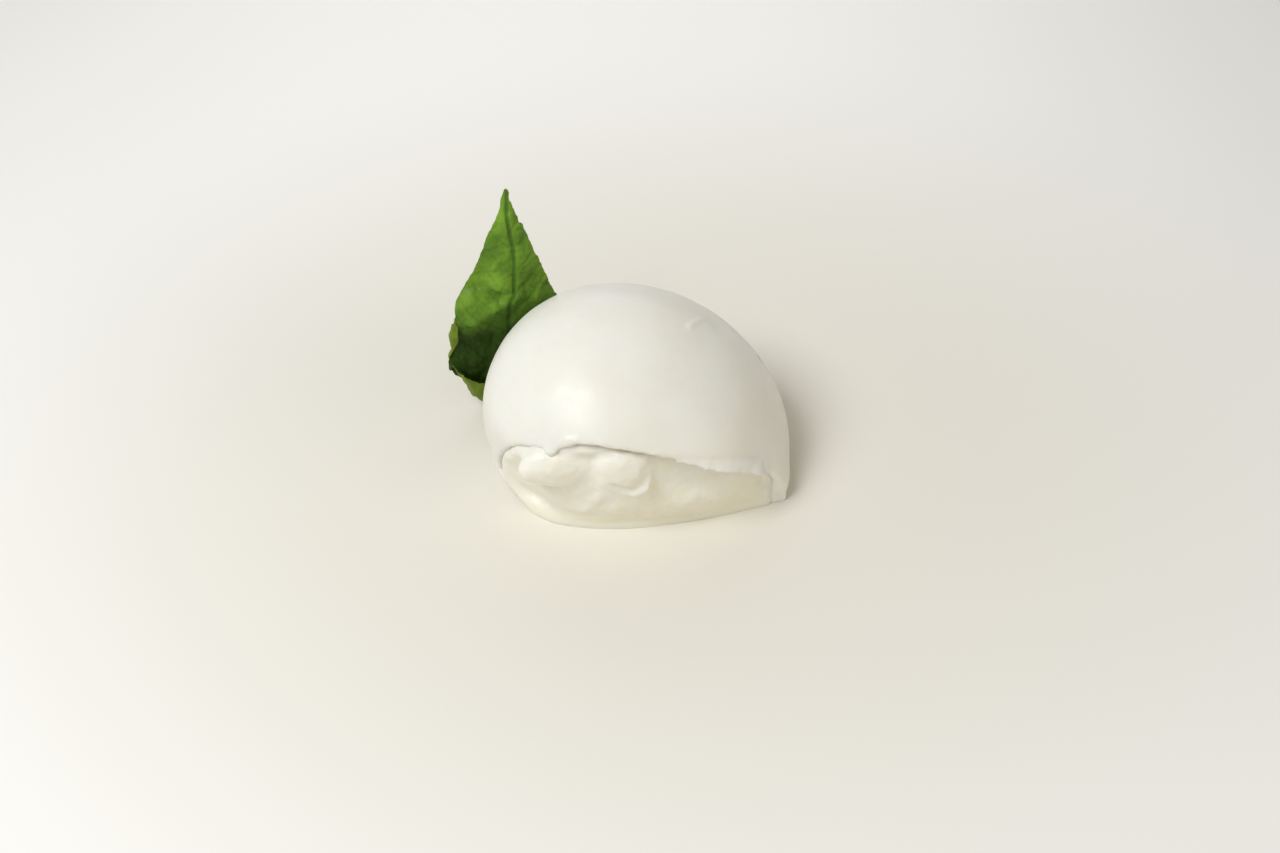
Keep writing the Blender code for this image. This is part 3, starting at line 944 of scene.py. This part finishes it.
@dataclass(frozen=True)
class Curd:
    """The soft mass in the mouth: two lobes, a curled flap beside them and a smooth hollow."""

    grain: float = 0.55
    left_lobe: Lump = Lump((-21.4, -35.0, 24.9), (12.0, 4.2, 6.8), 4.0)
    left_lobe_crown: Lump = Lump((-26.4, -35.0, 26.0), (6.0, 4.0, 4.8))
    right_lobe: Lump = Lump((-4.2, -35.0, 23.6), (8.1, 4.2, 6.8))
    lobe_sinks: tuple[float, ...] = (2.6, 2.5, 2.9)
    pit: Dab = Dab((-6.3, -35.0, 18.2), reach=(1.5, 3.0, 1.2), height=1.1, way=Way.BACK)
    curl: Line = ((-4.4, -35.0, 16.6), (-3.2, -35.0, 15.7), (-1.6, -35.0, 15.6),
                  (0.2, -35.0, 16.4), (1.7, -35.0, 17.8), (2.7, -35.0, 20.4), (3.0, -35.0, 22.4))
    groove_inside: Spot = (-1.3, 0.0, 1.5)
    groove_reach: float = 1.2
    groove_depth: float = 0.8
    low_ridge: Stroke = Stroke(((-11.0, -35.0, 15.4), (-12.2, -35.0, 13.6), (-15.6, -35.0, 10.6)),
                               reach=1.6, height=0.35)
    left_fill: Line = ((-28.0, -26.2, 27.0), (-31.6, -23.6, 24.4), (-34.4, -19.8, 20.0),
                       (-36.2, -16.0, 14.8), (-36.6, -14.6, 8.6), (-34.4, -16.4, 4.4),
                       (-31.2, -19.8, 2.6), (-28.0, -22.6, 2.0), (-24.6, -24.9, 1.7),
                       (-21.0, -26.4, 1.5), (-16.0, -27.6, 1.3))
    foot_fill: Line = ((-16.0, -27.6, 1.3), (-10.0, -28.4, 1.2), (-2.8, -28.8, 1.2),
                       (5.1, -28.1, 1.2), (13.6, -27.0, 1.2), (23.0, -25.0, 1.2),
                       (29.3, -23.4, 1.4), (35.2, -22.4, 1.8))
    under_lip: Line = ((-27.0, -27.6, 28.0), (-21.0, -30.0, 29.6), (-14.0, -31.4, 30.2),
                       (-6.0, -31.8, 29.6), (2.0, -31.8, 28.0), (8.0, -31.4, 26.2))
    right_fill: Line = ((29.0, -26.4, 16.4), (33.6, -23.8, 12.2), (35.2, -22.4, 7.6),
                        (35.2, -22.4, 2.5))
    fill_radius: float = 2.4
    corner_reach: float = 3.6
    front: Span = (14.0, 20.0)
    lumps: Grain = Grain("lumps", size=6.5, height=1.2)
    curds: Grain = Grain("curds", size=2.0, height=0.3, finer=1)
    hollow_rise: Span = (1.8, 4.4)
    hollow_fall: Span = (12.0, 30.0)
    hollow_height: Span = (10.0, 17.0)
    hollow_depth: float = 1.0
    ripple_height: Span = (1.0, 5.0)
    foot_front: Span = (10.0, 16.0)
    foot_height: Span = (0.4, 2.6)
    foot_forward: float = 0.7
    foot_press: float = 0.8
    underside: Span = (0.6, 3.5)
    underside_press: float = 0.45

    def make(self) -> bpy.types.Object:
        """Model the curd.

        Returns:
            The finished piece.
        """
        clay = Clay.from_solid("curd", "soft_curd")
        clay.pair_triangles()
        clay.refine(1)
        spots = clay.spots()
        clay.push(1.0 - ramp(spots[:, 2], *self.underside), -self.underside_press, Way.UP)
        clay.press_on([lump.make() for lump in self.lobes(clay)])
        clay.melt(self.grain)
        clay.soften(20)
        spots = clay.spots()
        corners = np.minimum(from_line(spots, self.left_fill), from_line(spots, self.right_fill))
        clay.soften(30, bell(corners, self.corner_reach))
        self.hollow(clay)
        clay.press_on([lump.make() for lump in self.flap(clay)])
        clay.melt(self.grain)
        clay.soften(3)
        self.ripple(clay)
        self.tuck_foot(clay)
        CurdFinish().dress(clay.piece)
        return clay.hand_in("curd")

    def lobes(self, clay: Clay) -> list[Lump]:
        """The two lobes that swell out under the lip, and what fills the mouth's edge.

        Args:
            clay: The curd that they are pressed on.

        Returns:
            The lumps of the lobes and of the fill.
        """
        shown = (self.left_lobe, self.left_lobe_crown, self.right_lobe)
        lobes = [replace(lobe, middle=tuple(clay.seen(lobe.middle) + Vector((0.0, sink, 0.0))))
                 for lobe, sink in zip(shown, self.lobe_sinks)]
        fill = (self.left_fill, self.right_fill, self.under_lip, self.foot_fill)
        return lobes + [Lump(tuple(spot), (self.fill_radius,) * 3)
                        for line in fill for spot in smooth_line(line, 5)]

    def flap(self, clay: Clay) -> list[Lump]:
        """The thin curled rim that runs round the right lobe's lower side."""
        return beads([clay.seen(spot) for spot in smooth_line(self.curl, 4)], thick=0.85, thin=0.45)

    def hollow(self, clay: Clay) -> None:
        """Sink the smooth face right of the lobes, the pit and the groove inside the curl.

        Args:
            clay: The melted curd.
        """
        spots = clay.spots()
        face = ramp(-spots[:, 1], *self.front)
        right = ramp(spots[:, 0], *self.hollow_rise) * (1.0 - ramp(spots[:, 0], *self.hollow_fall))
        high = ramp(spots[:, 2], *self.hollow_height)
        clay.push(face * right * high, self.hollow_depth, Way.BACK)
        clay.mark(replace(self.pit, middle=tuple(clay.seen(self.pit.middle))), spots)
        inside = [clay.seen(np.array(spot) + self.groove_inside) for spot in self.curl[1:]]
        clay.push(bell(from_line(spots, inside), self.groove_reach), self.groove_depth, Way.BACK)

    def ripple(self, clay: Clay) -> None:
        """Give the open face its soft unevenness.

        Args:
            clay: The melted curd, with the flap on it.
        """
        spots = clay.spots()
        face = ramp(-spots[:, 1], *self.front) * ramp(spots[:, 2], *self.ripple_height)
        ridge = tuple(tuple(clay.seen(spot)) for spot in self.low_ridge.line)
        clay.mark(replace(self.low_ridge, line=ridge), spots)
        clay.roughen(face, self.lumps)
        clay.roughen(face, self.curds)

    def tuck_foot(self, clay: Clay) -> None:
        """Bring the foot forward to where it meets the floor, and press it down there.

        Args:
            clay: The rippled curd.
        """
        spots = clay.spots()
        foot = ramp(-spots[:, 1], *self.foot_front) * (1.0 - ramp(spots[:, 2], *self.foot_height))
        clay.push(foot, -self.foot_forward, Way.BACK)
        clay.sit_down(self.foot_press)


@dataclass(frozen=True)
class BasilLeaf:
    """The basil leaf: veined and wavy, creased across, with one edge and one lobe turned over."""

    thickness: float = 0.42
    midrib: Line = ((-34.0, 37.6, 69.6), (-34.4, 36.3, 62.2), (-33.3, 34.2, 50.8),
                    (-33.6, 33.0, 43.6), (-34.1, 32.0, 37.3), (-35.5, 31.6, 34.8),
                    (-36.4, 31.4, 28.0), (-35.6, 31.6, 16.0), (-33.6, 32.0, 1.0))
    crease: Stroke = Stroke(((-47.7, 29.0, 29.4), (-43.5, 30.0, 31.7), (-38.5, 31.2, 34.1),
                             (-33.7, 31.8, 35.9), (-29.6, 32.6, 35.5), (-24.0, 33.6, 34.6)),
                            reach=2.0, height=0.8)
    arch: Stroke = Stroke(((-49.6, 31.0, 40.4), (-46.0, 31.6, 41.2), (-42.5, 31.6, 40.4),
                           (-38.6, 31.8, 37.4)), reach=1.4, height=-1.2)
    swell: Stroke = Stroke(((-37.4, 35.9, 59.2), (-37.8, 34.0, 48.5), (-38.6, 32.3, 40.0)),
                           reach=3.6, height=0.9)
    pillow: Dab = Dab((-44.6, 30.6, 35.8), reach=(5.0, 6.0, 4.6), height=1.0)
    fold: Dab = Dab((-45.0, 26.6, 4.4), reach=(5.0, 5.0, 3.6), height=-1.0, way=Way.UP)
    low_corner: Dab = Dab((-52.8, 25.6, 15.6), reach=(3.4, 4.0, 4.4), height=2.0, way=Way.UP)
    low_corner_out: float = 1.1
    blisters: Grain = Grain("blisters", size=4.2, height=1.7)
    notches: tuple[Grain, ...] = (Grain("notches", size=2.4, height=0.9, way=Way.RIGHT, finer=1),
                                  Grain("teeth", size=2.4, height=0.8, way=Way.UP, finer=1),
                                  Grain("curls", size=5.0, height=1.0, way=Way.BACK, finer=1))
    notch_reach: float = 1.4
    crease_lead: float = 1.5
    back_bend: float = 2.2
    back_bend_width: float = 12.0
    back_bend_height: Span = (20.0, 34.0)
    foot_bend: float = 1.1
    foot_bend_depth: float = 8.0
    foot_bend_height: Span = (13.0, 22.0)
    lobe_back: Spot = (-44.0, 27.0, 6.5)
    side_facing: float = 0.3
    side_bend: float = 60.0
    weld: float = 0.3
    margin_weld: float = 0.1
    even_angle: float = 40.0
    neck: float = 59.2
    neck_weld: float = 0.9
    row_weld: float = 0.4
    tip_rows: tuple[tuple[Spot, float], ...] = (
        ((-34.5, 36.15, 61.0), 6.6), ((-34.45, 36.5, 63.0), 4.7), ((-34.4, 36.9, 65.0), 3.3),
        ((-34.4, 37.2, 67.0), 2.4), ((-34.4, 37.5, 68.8), 1.5), ((-34.35, 37.7, 69.9), 0.3))
    vein_starts: tuple[float, ...] = (8.0, 16.0, 23.0, 30.0, 37.5, 44.5, 51.5, 57.5)
    vein_depth: float = 0.45
    rib_reach: float = 0.8
    side_vein_reach: float = 0.6
    side_vein_share: float = 0.45
    side_vein_span: float = 19.0
    side_vein_run_out: float = 3.0
    blade_height: float = 70.0
    blade_taper: float = 1.4
    side_vein_bend: tuple[Span, ...] = ((0.0, 0.0), (0.4, 0.34), (0.8, 0.86), (1.0, 1.3))
    # Painted shade: how strongly shade is painted into the green below the crease, in the arch and
    # on the right half.
    foot_shade: float = 0.92
    arch_shade: float = 0.4
    arch_shade_reach: float = 2.0
    right_shade: float = 0.24
    turned_edge: Span = (19.8, 31.4)
    turned_from: float = -44.0
    turned_slack: float = 2.0
    turned_rows: tuple[Span, ...] = ((0.7, 0.2), (0.1, 2.3))

    def make(self) -> bpy.types.Object:
        """Model the leaf.

        Returns:
            The finished piece.
        """
        clay = Clay.from_solid("basil_leaf", "basil_leaf_blade")
        self.keep_upper_side(clay)
        self.draw_out_tip(clay)
        clay.pair_triangles()
        self.turn_edge_over(clay)
        clay.refine(1, Split.STRAIGHT)
        clay.refine(2)
        self.wave(clay)
        self.notch_margin(clay)
        self.vein(clay)
        UPPER_SIDE.dress(clay.piece)
        UNDERSIDE.dress(clay.piece)
        self.thicken(clay)
        return clay.hand_in("basil_leaf")

    def keep_upper_side(self, clay: Clay) -> None:
        """Keep the upper sides of the blade and of its folded lobe, and delete the rest.

        Args:
            clay: The merged copy of the leaf's solid.
        """
        mesh = clay.piece.data
        starts = []
        for spot, facing in ((self.midrib[3], -1.0), (self.lobe_back, 1.0)):
            sides = [face for face in mesh.polygons if facing * face.normal.y > self.side_facing]
            starts.append(min(sides, key=lambda face: (face.center - at(spot)).length).index)
        with editing(clay.piece, Pick.FACES):
            bpy.ops.mesh.select_all(action="DESELECT")
            bpy.ops.object.mode_set(mode="OBJECT")
            for start in starts:
                mesh.polygons[start].select = True
            bpy.ops.object.mode_set(mode="EDIT")
            bpy.ops.mesh.faces_select_linked_flat(sharpness=math.radians(self.side_bend))
            bpy.ops.mesh.select_all(action="INVERT")
            bpy.ops.mesh.delete(type="FACE")
            bpy.ops.mesh.select_all(action="SELECT")
            bpy.ops.mesh.fill_holes(sides=4)
            bpy.ops.mesh.remove_doubles(threshold=self.weld * MILLIMETRE)
            bpy.ops.mesh.beautify_fill(angle_limit=math.radians(self.even_angle))

    def draw_out_tip(self, clay: Clay) -> None:
        """Cut the blade off level below its top, and draw it out into a slender tip.

        Args:
            clay: The upper side of the leaf.
        """
        cut = at((0.0, 0.0, self.neck))
        with editing(clay.piece):
            bpy.ops.mesh.bisect(plane_co=cut, plane_no=(0.0, 0.0, 1.0), clear_outer=True)
            bpy.ops.mesh.select_all(action="DESELECT")
            bpy.ops.object.mode_set(mode="OBJECT")
            for vertex in clay.piece.data.vertices:
                vertex.select = abs(vertex.co.z - cut.z) < TOUCHING * MILLIMETRE
            bpy.ops.object.mode_set(mode="EDIT")
            bpy.ops.mesh.remove_doubles(threshold=self.neck_weld * MILLIMETRE)
            bpy.ops.mesh.select_mode(type=Pick.EDGES.value)
            for middle, width in self.tip_rows:
                bpy.ops.mesh.extrude_edges_move()
                row = self.picked(clay)
                target = at(middle)
                bpy.ops.transform.translate(value=target - Vector((row.max(0) + row.min(0)) / 2.0))
                narrower = width * MILLIMETRE / float(np.ptp(row[:, 0]))
                bpy.ops.transform.resize(value=(narrower, 1.0, 1.0), center_override=target)
                bpy.ops.mesh.remove_doubles(threshold=self.row_weld * MILLIMETRE)

    @staticmethod
    def picked(clay: Clay) -> np.ndarray:
        """The places of the vertices that are selected in edit mode, one row each."""
        clay.piece.update_from_editmode()
        return np.array([vertex.co for vertex in clay.piece.data.vertices if vertex.select])

    def turn_edge_over(self, clay: Clay) -> None:
        """Turn a stretch of the left margin over towards the front, so that its back shows.

        Args:
            clay: The upper side of the leaf, with its tip.
        """
        low, high = self.turned_edge
        for forward, across in self.turned_rows:
            spots = clay.spots()
            margin = self.margin_edges(clay.piece.data)
            with editing(clay.piece, Pick.EDGES):
                bpy.ops.mesh.select_all(action="DESELECT")
                bpy.ops.object.mode_set(mode="OBJECT")
                for number in margin:
                    edge = clay.piece.data.edges[number]
                    ends = spots[list(edge.vertices)]
                    edge.select = bool(ends[:, 0].max() < self.turned_from
                                       and ends[:, 2].min() > low - self.turned_slack
                                       and ends[:, 2].max() < high + self.turned_slack)
                bpy.ops.object.mode_set(mode="EDIT")
                bpy.ops.mesh.extrude_edges_move()
            picked = np.array([vertex.select for vertex in clay.piece.data.vertices])
            spots = clay.spots()
            share = picked * np.sin(np.pi * np.clip((spots[:, 2] - low) / (high - low), 0.0, 1.0))
            clay.push(share, -forward, Way.BACK)
            clay.push(share, across, Way.RIGHT)
        with editing(clay.piece):
            bpy.ops.mesh.remove_doubles(threshold=self.margin_weld * MILLIMETRE)

    @staticmethod
    def margin_edges(mesh: bpy.types.Mesh) -> set[int]:
        """Find the edges that have a face on one side only.

        Args:
            mesh: The leaf while it is a single sheet of faces.

        Returns:
            The edges' numbers.
        """
        count = np.zeros(len(mesh.edges), int)
        for loop in mesh.loops:
            count[loop.edge_index] += 1
        return set(np.nonzero(count == 1)[0].tolist())

    def wave(self, clay: Clay) -> None:
        """Crease the leaf across, raise its swellings and blister it finely.

        Args:
            clay: The leaf's sheet, split into fine faces.
        """
        spots = clay.spots()
        clay.push(self.low_corner.where(spots), -self.low_corner_out, Way.RIGHT)
        for mark in (self.low_corner, self.fold, self.pillow, self.swell, self.crease, self.arch):
            clay.mark(mark, spots)
        right = (spots[:, 0] - self.rib_at(spots[:, 2])) / self.back_bend_width
        right = np.clip(right, 0.0, 1.0) * ramp(spots[:, 2], *self.back_bend_height)
        clay.push(right, self.back_bend, Way.BACK)
        below = self.below_crease(spots, self.foot_bend_depth)
        clay.push(below * ramp(spots[:, 2], *self.foot_bend_height), self.foot_bend, Way.BACK)
        clay.roughen(np.ones(len(spots)), self.blisters)

    def notch_margin(self, clay: Clay) -> None:
        """Make the margin toothed and uneven.

        Args:
            clay: The waved sheet.
        """
        mesh = clay.piece.data
        ends = {vertex for edge in self.margin_edges(mesh) for vertex in mesh.edges[edge].vertices}
        tree = KDTree(len(ends))
        for vertex in ends:
            tree.insert(mesh.vertices[vertex].co, vertex)
        tree.balance()
        gap = np.array([tree.find(vertex.co)[2] for vertex in mesh.vertices]) / MILLIMETRE
        margin = bell(gap, self.notch_reach)
        for grain in self.notches:
            clay.roughen(margin, grain)

    def rib_at(self, height: Amount) -> Amount:
        """How far to the right the midrib runs at a height."""
        rib = np.array(self.midrib)[::-1]
        return np.interp(height, rib[:, 2], rib[:, 0])

    def below_crease(self, spots: np.ndarray, depth: Amount) -> np.ndarray:
        """How far spots lie below the crease.

        Args:
            spots: The spots, one row each.
            depth: How far below the crease the value reaches 1.

        Returns:
            A value for each spot, 0 above the crease.
        """
        line = self.crease.curve()
        height = np.interp(spots[:, 0], line[:, 0], line[:, 2])
        return ramp(height - spots[:, 2], -self.crease_lead, depth)

    def vein(self, clay: Clay) -> None:
        """Sink the midrib and the side veins, and keep veins and shade painted for the finish.

        Args:
            clay: The waved and toothed sheet.
        """
        spots = clay.spots()
        flat = spots[:, [0, 2]]
        rib = [(across, height) for across, _, height in self.midrib]
        veins = bell(from_line(flat, rib), self.rib_reach)
        for start in self.vein_starts:
            for hand in (-1.0, 1.0):
                vein = bell(from_line(flat, self.side_vein(start, hand)), self.side_vein_reach)
                veins = np.maximum(veins, self.side_vein_share * vein)
        clay.push(veins, -self.vein_depth)
        for name, values in (("veins", veins), ("shade", self.shade(spots))):
            attribute = clay.piece.data.attributes.new(name, "FLOAT", "POINT")
            attribute.data.foreach_set("value", values.astype(np.float32))

    def shade(self, spots: np.ndarray) -> np.ndarray:
        """How strongly shade is painted into the green: most below the crease, less in the arch and
        on the right half.

        Args:
            spots: The sheet's vertices, one row each.

        Returns:
            A value between 0 and 1 for each.
        """
        depth = 6.0 + 10.0 * ramp(spots[:, 0], -47.0, -38.0)
        foot = self.foot_shade * self.below_crease(spots, depth)
        arch = self.arch_shade * bell(from_line(spots, self.arch.line), self.arch_shade_reach)
        right = ramp(spots[:, 0] - self.rib_at(spots[:, 2]), 0.0, 3.0)
        return np.maximum(np.maximum(foot, arch), self.right_shade * right)

    def side_vein(self, start: float, hand: float) -> list[tuple[float, ...]]:
        """A side vein from the midrib out to the margin and upwards.

        Args:
            start: The height where it leaves the midrib.
            hand: -1 for a vein on the left, 1 for one on the right.

        Returns:
            The vein's points, each across and up.
        """
        middle = float(self.rib_at(start))
        narrowing = 1.0 - (start / self.blade_height) ** self.blade_taper
        width = self.side_vein_span * narrowing + self.side_vein_run_out
        return smooth_line([(middle + hand * out * width, start + up * width)
                            for out, up in self.side_vein_bend], steps=4)

    def thicken(self, clay: Clay) -> None:
        """Give the finished sheet its thickness, with the underside's finish on its back."""
        clay.apply("SOLIDIFY", thickness=self.thickness * MILLIMETRE, offset=-1.0,
                   material_offset=1, material_offset_rim=1)


@dataclass(frozen=True)
class SoftLight:
    """A square of soft light that is turned towards a spot."""

    name: str
    spot: Spot
    size: float
    power: float
    colour: tuple[float, float, float]
    aim: Spot = (0.0, 0.0, 20.0)

    def hang(self) -> None:
        """Hang the light."""
        bpy.ops.object.light_add(type="AREA", location=at(self.spot))
        light = bpy.context.object
        light.name = self.name
        light.data.size = self.size * MILLIMETRE
        light.data.energy = self.power
        light.data.color = self.colour
        light.visible_camera = False
        aim = at(self.aim) - light.location
        light.rotation_euler = aim.to_track_quat("-Z", "Y").to_euler()


@dataclass(frozen=True)
class Studio:
    """A pale floor with shade painted round the ball, plain soft light and the camera."""

    elevation: float = 38.6
    roll: float = -2.9
    lens: float = 54.73
    # Painted shade: the floor's colour round the ball, darker than farther away.
    floor_painted_shade: Colour = (0.820, 0.790, 0.710, 1.0)
    floor_far: Colour = (0.960, 0.955, 0.930, 1.0)
    floor_fade: Span = (0.05, 0.26)
    floor_size: float = 8.0
    sky_colour: Colour = (1.0, 0.955, 0.865, 1.0)
    sky_power: float = 0.28
    lights: tuple[SoftLight, ...] = (
        SoftLight("key_light", (-460.0, -340.0, 790.0), 480.0, 7.05, (0.96, 0.98, 1.0)),
        SoftLight("low_fill", (630.0, -400.0, 230.0), 380.0, 0.9, (1.0, 0.92, 0.74)),
        SoftLight("back_light", (0.0, 430.0, 240.0), 460.0, 0.42, (1.0, 1.0, 1.0),
                  aim=(0.0, 330.0, 0.0)),
    )

    def set_up(self) -> None:
        """Make the floor, the light and the camera."""
        self.lay_floor()
        for light in self.lights:
            light.hang()
        self.light_sky()
        self.place_camera()
        bpy.context.scene.view_settings.view_transform = "Standard"

    def lay_floor(self) -> None:
        """Lay the pale floor, with shade painted round the ball that fades to a lighter floor away
        from it.
        """
        bpy.ops.mesh.primitive_plane_add(size=self.floor_size, location=(0.0, 0.0, 0.0))
        floor = bpy.context.object
        floor.name = "pale_floor"
        recipe = Recipe("pale_floor")
        recipe.set(Roughness=0.55)
        # Painted shade: darker round the ball, lightening away from it.
        away = recipe.spread(recipe.distance_from_middle(), *self.floor_fade)
        recipe.feed("Base Color", recipe.mix(away, self.floor_painted_shade, self.floor_far))
        recipe.dress(floor)

    def light_sky(self) -> None:
        """Light everything evenly from all round with a warm pale sky."""
        world = bpy.data.worlds.new("soft_sky")
        world.use_nodes = True
        background = world.node_tree.nodes["Background"]
        background.inputs["Color"].default_value = self.sky_colour
        background.inputs["Strength"].default_value = self.sky_power
        bpy.context.scene.world = world

    def place_camera(self) -> None:
        """Place the camera at the eye, looking down on the torn front."""
        data = bpy.data.cameras.new("camera")
        data.lens = self.lens
        data.clip_start = 0.01
        camera = bpy.data.objects.new("camera", data)
        bpy.context.scene.collection.objects.link(camera)
        down = math.radians(self.elevation)
        view = Vector((0.0, math.cos(down), -math.sin(down)))
        camera.location = EYE
        turn = view.to_track_quat("-Z", "Y") @ Quaternion((0.0, 0.0, 1.0), math.radians(self.roll))
        camera.rotation_euler = turn.to_euler()
        bpy.context.scene.camera = camera


def main() -> None:
    """Build the pieces in order, then the studio."""
    logging.basicConfig(level=logging.INFO, format="%(message)s")
    for maker in (TornSkin(), Curd(), BasilLeaf()):
        piece = maker.make()
        log.info("%s: %d faces", piece.name, len(piece.data.polygons))
    Studio().set_up()


if __name__ == "__main__":
    main()
